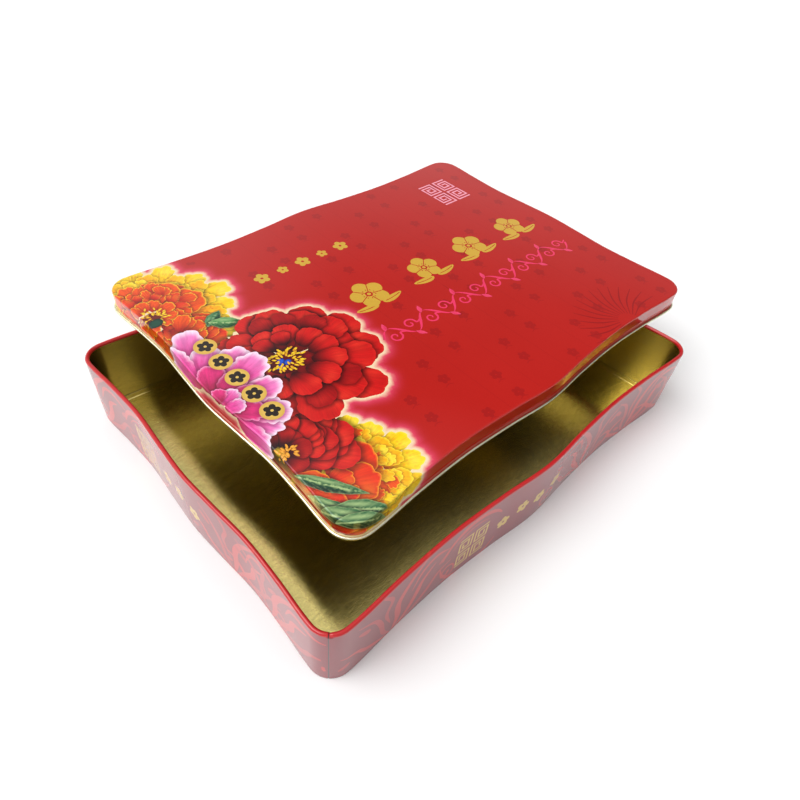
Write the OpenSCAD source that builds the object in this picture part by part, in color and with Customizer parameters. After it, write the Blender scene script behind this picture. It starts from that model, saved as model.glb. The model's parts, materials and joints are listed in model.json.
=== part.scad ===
// Shallow gift tin in printed tinplate: a wavy-sided tray with a rolled rim
// and a seamed-in bottom plate, and a loose pressed lid set down across it.
// Millimetres, +Z up. The origin is the centre of the tray's underside,
// +X runs along the long sides and +Y along the short ones.

/* [Tray] */
// Length of the tray over its corners
tray_l = 280; // [240:1:320]
// Width of the tray over its corners
tray_w = 213.4; // [180:0.1:250]
// Height of the tray from the floor to the top of its rolled rim
tray_h = 44.2; // [30:0.1:70]
// Outside radius of the upright corners
corner_r = 11.7; // [8:0.1:20]
// Thickness of the tinplate
sheet = 0.3; // [0.25:0.01:0.4]
// Outside radius of the rolled rim bead, which curls inward
rim_r = 1.15; // [0.9:0.05:1.6]
// Width of the folded hem under the wall that holds the bottom plate
hem_w = 3.2; // [2:0.1:5]
// Outside radius of the bend between the wall and its hem
hem_r = 0.7; // [0.4:0.05:1]

/* [Wavy sides] */
// Long sides: how far in they lie at the middle, 1/4, 1/2 and 3/4 of the way to a corner
wave_long = [-1.0, 1.4, 2.9, 2.0]; // [-2:0.1:4]
// Short sides: the same four depths
wave_short = [-0.4, 0.8, 2.3, 1.5]; // [-2:0.1:4]

/* [Side seam] */
// Width of the folded lock seam inside the front corner
seam_w = 4.4; // [3:0.1:6]
// How far the folded seam stands in from the wall
seam_t = 0.6; // [0.3:0.05:1]
// Depth of the fine groove that the seam leaves outside
groove_d = 0.14; // [0.05:0.01:0.2]

/* [Lid] */
// Height of the lid from its top panel to the bottom of its curled edge
lid_h = 12.6; // [8:0.1:20]
// Gap between the lid's skirt and the tray's wall when the lid is on
lid_fit = 0.3; // [0.2:0.05:1]
// Radius of the bend around the top panel
lid_edge_r = 0.9; // [0.6:0.1:2]
// Outside radius of the outward curl along the lid's lower edge
curl_r = 0.85; // [0.7:0.05:1.2]
// Depth of the fine bead round the skirt, below the top panel
bead_z = 8.6; // [6:0.1:9.5]
// How far the fine bead around the skirt stands out
bead_d = 0.3; // [0:0.05:0.5]

/* [Resting place of the lid] */
// Distance that the lid is set over towards +X
lid_dx = 33.4; // [20:0.1:40]
// Distance that the lid is set over towards +Y
lid_dy = 29.1; // [20:0.1:40]
// Small turn of the lid about the vertical
lid_turn = 0.4; // [-1:0.1:1]
// Gap between the tray's rim and the lid that lies across it
rest_gap = 0.3; // [0.3:0.1:1]

/* [Hidden] */
hx = tray_l / 2;
hy = tray_w / 2;
n_long = 22;    // steps along a long side
n_short = 18;   // steps along a short side
n_corner = 8;   // steps round a corner

// ---- smooth wave between five depths, the last one 0 at the corner ----
function h00(f) = 2*f*f*f - 3*f*f + 1;
function h10(f) = f*f*f - 2*f*f + f;
function h01(f) = 3*f*f - 2*f*f*f;
function h11(f) = f*f*f - f*f;
function depth(h, i) = i > 3 ? 0 : h[i];
function slope(h, i) = i == 0 || i == 4 ? 0 : (depth(h, i + 1) - depth(h, i - 1)) / 2;
function wave(h, t) =
    let (u = min(abs(t), 1) * 4, i = min(floor(u), 3), f = u - i)
    h00(f) * depth(h, i) + h10(f) * slope(h, i)
    + h01(f) * depth(h, i + 1) + h11(f) * slope(h, i + 1);

// ---- outline of the tray, counter-clockwise from the middle of the front corner ----
function arc_pts(cx, cy, a0, a1, n, first, last) =
    [for (k = [first : last]) let (a = a0 + (a1 - a0) * k / n)
        [cx + corner_r * cos(a), cy + corner_r * sin(a)]];
function lerp(k, n) = -1 + 2 * k / n;
function base_outline() = concat(
    arc_pts(-hx + corner_r, -hy + corner_r, 225, 270, n_corner / 2, 0, n_corner / 2 - 1),
    [for (k = [0 : n_long]) let (s = lerp(k, n_long)) [s * (hx - corner_r), -hy + wave(wave_long, s)]],
    arc_pts(hx - corner_r, -hy + corner_r, -90, 0, n_corner, 1, n_corner - 1),
    [for (k = [0 : n_short]) let (s = lerp(k, n_short)) [hx - wave(wave_short, s), s * (hy - corner_r)]],
    arc_pts(hx - corner_r, hy - corner_r, 0, 90, n_corner, 1, n_corner - 1),
    [for (k = [0 : n_long]) let (s = -lerp(k, n_long)) [s * (hx - corner_r), hy - wave(wave_long, s)]],
    arc_pts(-hx + corner_r, hy - corner_r, 90, 180, n_corner, 1, n_corner - 1),
    [for (k = [0 : n_short]) let (s = -lerp(k, n_short)) [-hx + wave(wave_short, s), s * (hy - corner_r)]],
    arc_pts(-hx + corner_r, -hy + corner_r, 180, 225, n_corner / 2, 1, n_corner / 2 - 1));

function unit(v) = v / norm(v);
function normals(p) = [for (i = [0 : len(p) - 1])
    let (d = unit(p[(i + 1) % len(p)] - p[(i + len(p) - 1) % len(p)])) [d[1], -d[0]]];
function shifted(p, n, off) = [for (i = [0 : len(p) - 1]) p[i] + off * n[i]];

O = base_outline();
N = normals(O);

// extra stations on both sides of the side seam, as angles round the front corner
seam_a = seam_w / 2 / corner_r * 180 / PI;
groove_a = 0.25 / corner_r * 180 / PI;
seam_st = [-seam_a - 1.4, -seam_a, -2.4 * groove_a, -groove_a, 0,
           groove_a, 2.4 * groove_a, seam_a, seam_a + 1.4];
function corner_pt(a) = [-hx + corner_r + corner_r * cos(225 + a),
                         -hy + corner_r + corner_r * sin(225 + a)];
function corner_n(a) = [cos(225 + a), sin(225 + a)];
step_a = 90 / n_corner;
// the wall's outline: the same, with the seam's stations in place of the corner's first points
wall_keep = [for (i = [0 : len(O) - 1])
    if (i > floor((seam_a + 1.4) / step_a) && i < len(O) - floor((seam_a + 1.4) / step_a)) i];
wall_o = concat([for (a = seam_st) corner_pt(a)], [for (i = wall_keep) O[i]]);
wall_n = concat([for (a = seam_st) corner_n(a)], [for (i = wall_keep) N[i]]);
// 1 where the folded seam is, and 1 where its groove is
wall_fold = concat([0, 1, 1, 1, 1, 1, 1, 1, 0], [for (i = wall_keep) 0]);
wall_groove = concat([0, 0, 0, 0, 1, 0, 0, 0, 0], [for (i = wall_keep) 0]);

// ---- closed sections, as [outward, up] points in one turning direction ----
// wall: hem underneath, straight wall, bead rolled inward; fold and groove are 0 or 1
function wall_section(fold, groove) = let (
        g = -groove_d * groove, f = -sheet - seam_t * fold, c = tray_h - rim_r, m = 9)
    concat(
        [[-hem_w, 0], [-hem_r, 0], [g - hem_r * 0.29, hem_r * 0.29], [g, hem_r]],
        [for (k = [0 : m]) let (a = 270 * k / m)
            [-rim_r + (rim_r + g * (k < 6 ? 1 : 0)) * cos(a), c + (rim_r + g * (k < 6 ? 1 : 0)) * sin(a)]],
        [for (k = [m : -1 : 1]) let (a = 270 * k / m)
            [-rim_r + (rim_r - sheet) * cos(a), c + (rim_r - sheet) * sin(a)]],
        [[-sheet, c], [-sheet, c - rim_r - 0.6], [f, c - rim_r - 1.2],
         [f, hem_r + 1.4], [-sheet, hem_r + 0.8], [-sheet, hem_r],
         [-hem_r, sheet], [-hem_w, sheet]]);

// lid: from the underside of the top panel down the inner face, round the outward
// curl and back up the printed face to the top of the panel
lid_out = lid_fit + sheet;
curl_c = curl_r - lid_h;
curl_q = lid_fit + curl_r;
function lid_section() = concat(
    [for (k = [0 : 3]) let (a = 90 - 30 * k, e = lid_edge_r - sheet)
        [lid_out - lid_edge_r + e * cos(a), -lid_edge_r + e * sin(a)]],
    [[lid_fit, -bead_z + 0.7], [lid_fit + bead_d, -bead_z], [lid_fit, -bead_z - 0.7]],
    [for (k = [0 : 10]) let (a = 180 + 30 * k)
        [curl_q + curl_r * cos(a), curl_c + curl_r * sin(a)]],
    [for (k = [10 : -1 : 0]) let (a = 180 + 30 * k)
        [curl_q + (curl_r - sheet) * cos(a), curl_c + (curl_r - sheet) * sin(a)]],
    [[lid_out, -bead_z - 0.7], [lid_out + bead_d, -bead_z], [lid_out, -bead_z + 0.7]],
    [for (k = [3 : -1 : 0]) let (a = 90 - 30 * k)
        [lid_out - lid_edge_r + lid_edge_r * cos(a), -lid_edge_r + lid_edge_r * sin(a)]]);

// ---- solids swept round an outline ----
// sections: one list of [outward, up] for each outline point, all the same length
module ring_sweep(o, n, sections, closed_section = true) {
    c = len(o);
    m = len(sections[0]);
    pts = [for (i = [0 : c - 1]) for (q = sections[i])
        [o[i][0] + q[0] * n[i][0], o[i][1] + q[0] * n[i][1], q[1]]];
    side = [for (i = [0 : c - 1]) for (j = [0 : (closed_section ? m - 1 : m - 2)])
        let (a = i * m + j, b = i * m + (j + 1) % m,
             d = ((i + 1) % c) * m + j, e = ((i + 1) % c) * m + (j + 1) % m)
        each [[a, b, e], [a, e, d]]];
    caps = closed_section ? [] : [
        [for (i = [0 : c - 1]) i * m],
        [for (i = [c - 1 : -1 : 0]) i * m + m - 1]];
    polyhedron(points = pts, faces = concat(side, caps), convexity = 12);
}

// one strip of tinplate, bent round the outline, hooked together at the front corner,
// with its top edge rolled into a bead and its lower edge folded in
module body_wall() {
    color([0.72, 0.2, 0.24])
    ring_sweep(wall_o, wall_n,
        [for (i = [0 : len(wall_o) - 1]) wall_section(wall_fold[i], wall_groove[i])]);
}

// flat plate whose edge lies on the hem and whose middle is pressed down level with it
module bottom_plate() {
    color([0.75, 0.66, 0.25])
    union() {
        linear_extrude(height = sheet)
            polygon(shifted(O, N, -hem_w - 0.25));
        translate([0, 0, sheet - 0.05 + 0.1]) linear_extrude(height = sheet)
            difference() {
                polygon(shifted(O, N, -sheet - 0.35));
                polygon(shifted(O, N, -hem_w - 0.9));
            }
        translate([0, 0, sheet - 0.1]) linear_extrude(height = 0.2)
            difference() {
                polygon(shifted(O, N, -hem_w - 0.25));
                polygon(shifted(O, N, -hem_w - 0.9));
            }
    }
}

// one pressing: flat panel, short skirt with a fine bead, edge curled outward
module lid() {
    s = lid_section();
    color([0.78, 0.13, 0.13])
    translate([lid_dx, lid_dy, tray_h + rest_gap + lid_h]) rotate([0, 0, lid_turn])
        ring_sweep(O, N, [for (i = [0 : len(O) - 1]) s], closed_section = false);
}

body_wall();
bottom_plate();
lid();
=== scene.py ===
import json
import math
import bpy
import numpy as np
from mathutils import Matrix, Vector
from mathutils.geometry import delaunay_2d_cdt
from mathutils.kdtree import KDTree

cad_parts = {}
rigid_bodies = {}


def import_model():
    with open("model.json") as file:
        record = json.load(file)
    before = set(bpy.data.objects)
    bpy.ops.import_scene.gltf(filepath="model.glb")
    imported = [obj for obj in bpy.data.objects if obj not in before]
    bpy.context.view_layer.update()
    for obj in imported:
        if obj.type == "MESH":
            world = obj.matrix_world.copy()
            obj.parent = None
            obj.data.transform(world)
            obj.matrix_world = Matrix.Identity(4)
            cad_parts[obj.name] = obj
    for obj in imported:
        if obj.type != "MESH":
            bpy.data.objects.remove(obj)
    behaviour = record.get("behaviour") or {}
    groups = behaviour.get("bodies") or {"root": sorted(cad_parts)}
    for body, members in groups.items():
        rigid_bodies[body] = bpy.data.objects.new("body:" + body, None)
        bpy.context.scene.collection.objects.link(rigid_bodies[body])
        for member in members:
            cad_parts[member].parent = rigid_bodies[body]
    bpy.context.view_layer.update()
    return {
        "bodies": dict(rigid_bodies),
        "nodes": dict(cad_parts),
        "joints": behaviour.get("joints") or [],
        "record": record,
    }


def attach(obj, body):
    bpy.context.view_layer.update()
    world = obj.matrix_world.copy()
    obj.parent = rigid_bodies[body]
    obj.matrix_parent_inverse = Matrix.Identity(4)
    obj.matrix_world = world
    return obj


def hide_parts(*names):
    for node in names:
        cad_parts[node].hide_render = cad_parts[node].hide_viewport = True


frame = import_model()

MM = 0.001
# ------------------------------------------------------------------ sizes (mm), as in the CAD
HX, HY, CR = 140.0, 106.7, 11.7
H, SHEET, RIM_R, HEM_W, HEM_R = 44.2, 0.3, 1.15, 3.2, 0.7
W_LONG, W_SHORT = (-1.0, 1.4, 2.9, 2.0), (-0.4, 0.8, 2.3, 1.5)
SEAM_W, SEAM_T, GROOVE = 4.4, 0.6, 0.14
LID_H, LID_FIT, EDGE_R, CURL_R, BEAD_Z, BEAD_D = 12.6, 0.3, 0.9, 0.85, 8.6, 0.3
LID_X, LID_Y, LID_TURN, GAP = 33.4, 29.1, math.radians(0.4), 0.3
LID_TOP = H + GAP + LID_H
LID_OUT = LID_FIT + SHEET
INSET = 0.015      # the looks stay this far inside the CAD surface


def lin(r, g, b):
    c = np.array([r, g, b], float) / 255.0
    return np.where(c <= 0.04045, c / 12.92, ((c + 0.055) / 1.055) ** 2.4)


def smooth(x, a, b):
    t = np.clip((x - a) / (b - a), 0.0, 1.0)
    return t * t * (3 - 2 * t)


def mix(a, b, t):
    t = np.asarray(t)[..., None]
    return a * (1 - t) + b * t


# ------------------------------------------------------------------ outline
def wave(h, t):
    k = np.array(list(h) + [0.0])
    u = np.clip(np.abs(t), 0, 1) * 4
    i = np.minimum(u.astype(int), 3)
    f = u - i
    m = np.array([0, (k[2] - k[0]) / 2, (k[3] - k[1]) / 2, (k[4] - k[2]) / 2, 0])
    return ((2 * f**3 - 3 * f**2 + 1) * k[i] + (f**3 - 2 * f**2 + f) * m[i]
            + (-2 * f**3 + 3 * f**2) * k[i + 1] + (f**3 - f**2) * m[i + 1])


def outline_points():
    s = np.linspace(-1, 1, 900)
    arc = lambda cx, cy, a0, a1, n: np.c_[cx + CR * np.cos(np.radians(np.linspace(a0, a1, n))),
                                          cy + CR * np.sin(np.radians(np.linspace(a0, a1, n)))]
    P = [arc(-HX + CR, -HY + CR, 225, 270, 30)[:-1],
         np.c_[s * (HX - CR), -HY + wave(W_LONG, s)],
         arc(HX - CR, -HY + CR, -90, 0, 60)[1:-1],
         np.c_[HX - wave(W_SHORT, s), s * (HY - CR)],
         arc(HX - CR, HY - CR, 0, 90, 60)[1:-1],
         np.c_[-s * (HX - CR), HY - wave(W_LONG, s)],
         arc(-HX + CR, HY - CR, 90, 180, 60)[1:-1],
         np.c_[-HX + wave(W_SHORT, s), -s * (HY - CR)],
         arc(-HX + CR, -HY + CR, 180, 225, 30)[1:-1]]
    return np.vstack(P)


_p = outline_points()
_q = np.vstack([_p, _p[:1]])
_S = np.r_[0, np.cumsum(np.linalg.norm(np.diff(_q, axis=0), axis=1))]
PERIM = float(_S[-1])
N_O = 2600
_s = np.arange(N_O) * PERIM / N_O
O_PT = np.c_[np.interp(_s, _S, _q[:, 0]), np.interp(_s, _S, _q[:, 1])]
_t = np.roll(O_PT, -2, 0) - np.roll(O_PT, 2, 0)
_t /= np.linalg.norm(_t, axis=1)[:, None]
O_N = np.c_[_t[:, 1], -_t[:, 0]]


def outline_at(s):
    """Outline point and outward normal at distance s round the tray from the seam."""
    u = np.mod(s, PERIM) / PERIM * N_O
    i = np.floor(u).astype(int) % N_O
    f = (u - np.floor(u))[..., None]
    j = (i + 1) % N_O
    n = O_N[i] * (1 - f) + O_N[j] * f
    n /= np.linalg.norm(n, axis=-1, keepdims=True)
    return O_PT[i] * (1 - f) + O_PT[j] * f, n


_kd = KDTree(N_O)
for _i in range(N_O):
    _kd.insert((O_PT[_i, 0], O_PT[_i, 1], 0.0), _i)
_kd.balance()


def foot(P):
    """For each point: distance round the outline of its nearest outline point, and how far outside it lies."""
    idx = np.array([_kd.find((p[0], p[1], 0.0))[1] for p in P])
    q, n = O_PT[idx], O_N[idx]
    t = np.c_[-n[:, 1], n[:, 0]]
    s = idx * PERIM / N_O + ((P - q) * t).sum(1)
    q2, n2 = outline_at(s)
    return s, ((P - q2) * n2).sum(1)


# ------------------------------------------------------------------ shapes that the print is made of
class Shape:
    """One flat shape of the print. Star-shaped ones know how near a point is to their edge."""

    def __init__(self, poly, paint, star=None, frame=None, shadow=0.0, reach=1.25, streak=0.0, group=0):
        self.poly = np.asarray(poly, float)
        self.paint, self.star, self.frame = paint, star, frame
        self.shadow, self.reach, self.streak, self.group = shadow, reach, streak, group
        if star is not None:
            d = self.poly - np.asarray(star)
            a = np.arctan2(d[:, 1], d[:, 0])
            k = np.argsort(a)
            self.a, self.r = a[k], np.hypot(d[k, 0], d[k, 1])

    def edge(self, P):
        d = P - np.asarray(self.star)
        a = np.arctan2(d[:, 1], d[:, 0])
        return np.hypot(d[:, 0], d[:, 1]) / np.interp(a, self.a, self.r, period=2 * math.pi)

    def local(self, P):
        bx, by, ang, L, W, bend = self.frame
        d = P - np.array([bx, by])
        c, s = math.cos(ang), math.sin(ang)
        y = (d[:, 0] * c + d[:, 1] * s) / L
        x = (-d[:, 0] * s + d[:, 1] * c) / W
        return x - bend * L / W * y * y, y


def flat_paint(rgb):
    c = lin(*rgb)
    return lambda sh, P: np.repeat(c[None], len(P), 0)


class Pal:
    def __init__(self, dark, main, light, rim=0.35, e0=0.8, g0=0.0, g1=0.6, fold=0.22, mid=None, line=0.0, sheen=0.0, shadow=0.45):
        self.line, self.sheen, self.shadow = line, sheen, shadow
        self.dark, self.main, self.light = lin(*dark), lin(*main), lin(*light)
        self.rim, self.e0, self.g0, self.g1, self.fold = rim, e0, g0, g1, fold
        self.mid = None if mid is None else lin(*mid)


def petal_paint(pal, nf, ph):
    def f(sh, P):
        x, y = sh.local(P)
        e = sh.edge(P)
        t = smooth(y, pal.g0, pal.g1)
        if pal.mid is None:
            c = mix(pal.dark, pal.main, t)
        else:
            c = mix(mix(pal.dark, pal.mid, smooth(y, pal.g0, (pal.g0 + pal.g1) / 2)), pal.main,
                    smooth(y, (pal.g0 + pal.g1) / 2, pal.g1 + 0.2))
        crease = 0.5 + 0.5 * np.cos(math.pi * (nf * x / (0.35 + y.clip(0, 1)) + ph + 0.3 * np.sin(4 * y + ph)))
        c = c * (1 - pal.fold * (crease**3 * (1.1 - 0.7 * y.clip(0, 1))))[:, None]
        if pal.line > 0:
            thin = 0.5 + 0.5 * np.cos(math.pi * (2.6 * nf * x / (0.35 + y.clip(0, 1)) + 2 * ph + 0.5 * np.sin(7 * y + ph)))
            c = mix(c, pal.dark, pal.line * thin**6 * (1 - smooth(y, 0.55, 0.95)))
        if pal.sheen > 0:
            glow = np.exp(-((y - 0.72 - 0.06 * np.cos(3 * x + ph)) / 0.17) ** 2) * (0.55 + 0.45 * np.cos(3.4 * x + 2 * ph)) * (1 - smooth(e, 0.82, 1.0))
            c = mix(c, pal.light, pal.sheen * glow)
        side = smooth(np.abs(x), 0.55, 1.1) * (1 - smooth(y, 0.5, 0.9))
        c = c * (1 - 0.3 * side)[:, None]
        return mix(c, pal.light, pal.rim * smooth(e, pal.e0, 1.0) * smooth(y, 0.3, 0.75))
    return f


def petal(bx, by, ang, L, W, pal, rng, lobes=3, ruf=0.12, bend=0.0, rag=0.012, shadow=None, n=56, nf=2.0, group=1):
    t = np.linspace(0, 2 * math.pi, n, endpoint=False)
    y = (1 - np.cos(t)) / 2 * L
    x = np.sin(t) * W * (0.5 + 0.5 * (y / L))
    cy = 0.58 * L
    a = np.arctan2(x, y - cy)
    r = np.hypot(x, y - cy)
    ph = rng.uniform(0, math.pi)
    lob = np.abs(np.cos(lobes * a + ph)) ** 0.55 - 0.72
    r = r * (1 + ruf * lob * smooth(y / L, 0.3, 0.7)
             + rag * (np.sin(7 * a + rng.uniform(0, 6)) + 0.7 * np.sin(13 * a + rng.uniform(0, 6))))
    x, y = r * np.sin(a), cy + r * np.cos(a)
    x = x + bend * L * (y / L) ** 2
    c, s = math.cos(ang), math.sin(ang)
    # local x runs to the left of the pointing direction
    P = np.c_[bx + y * c - x * s, by + y * s + x * c]
    sx = bend * L * 0.58**2
    star = (bx + cy * c - sx * s, by + cy * s + sx * c)
    return Shape(P, petal_paint(pal, nf, rng.uniform(0, 2)), star, (bx, by, ang, L, W, bend), pal.shadow if shadow is None else shadow,
                 1.34, 1.0, group)


def blob(cx, cy, ang, a, b, rgb, n=9, shadow=0.0, dark=None, group=1):
    t = np.linspace(0, 2 * math.pi, n, endpoint=False)
    x, y = a * np.cos(t), b * np.sin(t)
    c, s = math.cos(ang), math.sin(ang)
    P = np.c_[cx + x * c - y * s, cy + x * s + y * c]
    if dark is None:
        p = flat_paint(rgb)
    else:
        A, B = lin(*rgb), lin(*dark)
        p = lambda sh, Q: mix(A, B, smooth(sh.edge(Q), 0.45, 1.05))
    return Shape(P, p, (cx, cy), None, shadow, 1.5, 0.0, group)


def leaf(bx, by, ang, L, W, rng, bend=0.0, dark=(8, 62, 44), main=(24, 116, 66), light=(150, 196, 140), group=1):
    n = 40
    t = np.linspace(0, 2 * math.pi, n, endpoint=False)
    y = (1 - np.cos(t)) / 2
    x = np.sign(np.sin(t)) * W * (np.sin(math.pi * y) ** 0.9) * (1 - 0.25 * y)
    x = x * (1 + 0.05 * np.sin(23 * y + rng.uniform(0, 6)))
    y = y * L
    x = x + bend * L * (y / L) ** 2
    c, s = math.cos(ang), math.sin(ang)
    P = np.c_[bx + y * c - x * s, by + y * s + x * c]
    D, M, Lt = lin(*dark), lin(*main), lin(*light)
    sx = bend * L * 0.25
    star = (bx + 0.5 * L * c - sx * s, by + 0.5 * L * s + sx * c)
    f = rng.uniform(0, 3)

    def paint(sh, Q):
        u, v = sh.local(Q)
        col = mix(D, M, smooth(u, -0.8, 0.5))
        vein = 0.5 + 0.5 * np.cos(2 * math.pi * (7 * v - 2.2 * np.abs(u) + f))
        col = mix(col, Lt, 0.14 * vein**6)
        col = mix(col, Lt, 0.55 * np.exp(-((u - 0.45) / 0.2) ** 2) * np.exp(-((v - 0.42) / 0.26) ** 2))
        col = mix(col, Lt, 0.75 * (1 - smooth(np.abs(u), 0.03, 0.12)) * (1 - smooth(v, 0.75, 1.0)))
        return mix(col, Lt, 0.35 * smooth(sh.edge(Q), 0.9, 1.0))
    return Shape(P, paint, star, (bx, by, ang, L, W, bend), 0.55, 1.3, 0.25, group)


def catmull(pts, step=0.9):
    p = np.asarray(pts, float)
    p = np.vstack([2 * p[0] - p[1], p, 2 * p[-1] - p[-2]])
    out = []
    for i in range(1, len(p) - 2):
        n = max(2, int(np.linalg.norm(p[i + 1][:2] - p[i][:2]) / step))
        for k in range(n):
            t = k / n
            out.append(0.5 * (2 * p[i] + (p[i + 1] - p[i - 1]) * t
                              + (2 * p[i - 1] - 5 * p[i] + 4 * p[i + 1] - p[i + 2]) * t * t
                              + (3 * p[i] - p[i - 1] - 3 * p[i + 1] + p[i + 2]) * t**3))
    out.append(p[-2])
    return np.array(out)


def stroke(pts, paint, step=0.9, chunk=4, group=0):
    """A brush stroke through (x, y, width) points, as a row of small shapes."""
    c = catmull(pts, step)
    xy, w = c[:, :2], np.maximum(c[:, 2], 0.12) / 2
    t = np.gradient(xy, axis=0)
    t /= np.maximum(np.linalg.norm(t, axis=1), 1e-9)[:, None]
    nrm = np.c_[-t[:, 1], t[:, 0]]
    a, b = xy + nrm * w[:, None], xy - nrm * w[:, None]
    return [Shape(np.vstack([a[i:i + chunk + 1], b[i:i + chunk + 1][::-1]]), paint, group=group)
            for i in range(0, len(xy) - 1, chunk)]


def spiral(cx, cy, r0, r1, a0, turns, w0, w1, n=14):
    return [(cx + (r0 + (r1 - r0) * k / n) * math.cos(a0 + 2 * math.pi * turns * k / n),
             cy + (r0 + (r1 - r0) * k / n) * math.sin(a0 + 2 * math.pi * turns * k / n),
             w0 + (w1 - w0) * k / n) for k in range(n + 1)]


def blossom(cx, cy, r, rgb, a0=0.3, n=5, eye=None, group=0):
    out = []
    for k in range(n):
        a = a0 + 2 * math.pi * k / n
        out.append(blob(cx + 0.56 * r * math.cos(a), cy + 0.56 * r * math.sin(a), a, 0.46 * r, 0.40 * r, rgb, 12, group=group))
    if eye is not None:
        out.append(blob(cx, cy, 0, 0.2 * r, 0.2 * r, eye, 8, group=group))
    return out


# ------------------------------------------------------------------ the lid's picture, in lid millimetres
RED_BG = (181, 28, 22)
P_RED = Pal((58, 2, 8), (204, 22, 22), (240, 62, 42), 0.16, 0.86, -0.02, 0.66, 0.26, sheen=0.5, shadow=0.66)
P_RED2 = Pal((50, 0, 7), (192, 16, 20), (232, 52, 38), 0.14, 0.86, 0.02, 0.76, 0.30, sheen=0.5, shadow=0.68)
P_DEEP = Pal((42, 0, 5), (158, 10, 16), (212, 38, 30), 0.14, 0.84, 0.05, 0.8, 0.28, sheen=0.45, shadow=0.66)
P_YEL = Pal((226, 84, 2), (254, 206, 2), (255, 240, 90), 0.5, 0.84, -0.02, 0.5, 0.16, line=0.75, sheen=0.5, shadow=0.36)
P_YEL2 = Pal((216, 48, 4), (252, 176, 8), (255, 228, 56), 0.8, 0.86, 0.0, 0.62, 0.18, line=0.8, sheen=0.4, shadow=0.40)
P_ORA = Pal((184, 26, 6), (236, 82, 14), (255, 206, 48), 0.95, 0.915, 0.0, 0.7, 0.2, line=0.5, shadow=0.42)
P_ROR = Pal((140, 8, 6), (222, 44, 16), (252, 170, 44), 0.75, 0.925, 0.0, 0.65, 0.22, sheen=0.25, shadow=0.46)
P_PINK = Pal((200, 14, 96), (242, 138, 202), (255, 234, 248), 0.85, 0.66, 0.0, 0.85, 0.22, mid=(230, 70, 156), line=0.35, shadow=0.42)
P_MAG = Pal((146, 4, 50), (224, 44, 122), (250, 160, 206), 0.8, 0.8, 0.0, 0.8, 0.25, line=0.3, shadow=0.45)


def ring(out, cx, cy, n, r0, L, W, pal, rng, a0=0.0, a1=None, lobes=3, ruf=0.12, jit=0.12, sq=1.0, rot=0.0, nf=2.0, rag=0.012):
    full = a1 is None
    for k in range(n):
        f = k / n if full else k / max(1, n - 1)
        a = a0 + (2 * math.pi * f if full else (a1 - a0) * f) + rng.uniform(-jit, jit)
        j = 1 + rng.uniform(-0.1, 0.1)
        bx = cx + r0 * math.cos(a)
        by = cy + r0 * math.sin(a) * sq
        ll = L * j * (1 - (1 - sq) * abs(math.sin(a)))
        out.append(petal(bx, by, a + rot + rng.uniform(-0.12, 0.12), ll, W * (1 + rng.uniform(-0.1, 0.1)), pal, rng,
                         lobes, ruf, rng.uniform(-0.12, 0.12), rag, nf=nf))


def stamens(out, cx, cy, n, r0, r1, rng, rgb=(250, 222, 40), a=1.5, b=0.62, sq=0.8, dark=(214, 128, 20)):
    for k in range(n):
        t = 2 * math.pi * k / n + rng.uniform(-0.2, 0.2)
        r = rng.uniform(r0, r1)
        out.append(blob(cx + r * math.cos(t), cy + r * sq * math.sin(t), t + rng.uniform(-0.6, 0.6),
                        a * rng.uniform(0.75, 1.2), b * rng.uniform(0.85, 1.2), rgb, 9, 0.35, dark))


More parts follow.
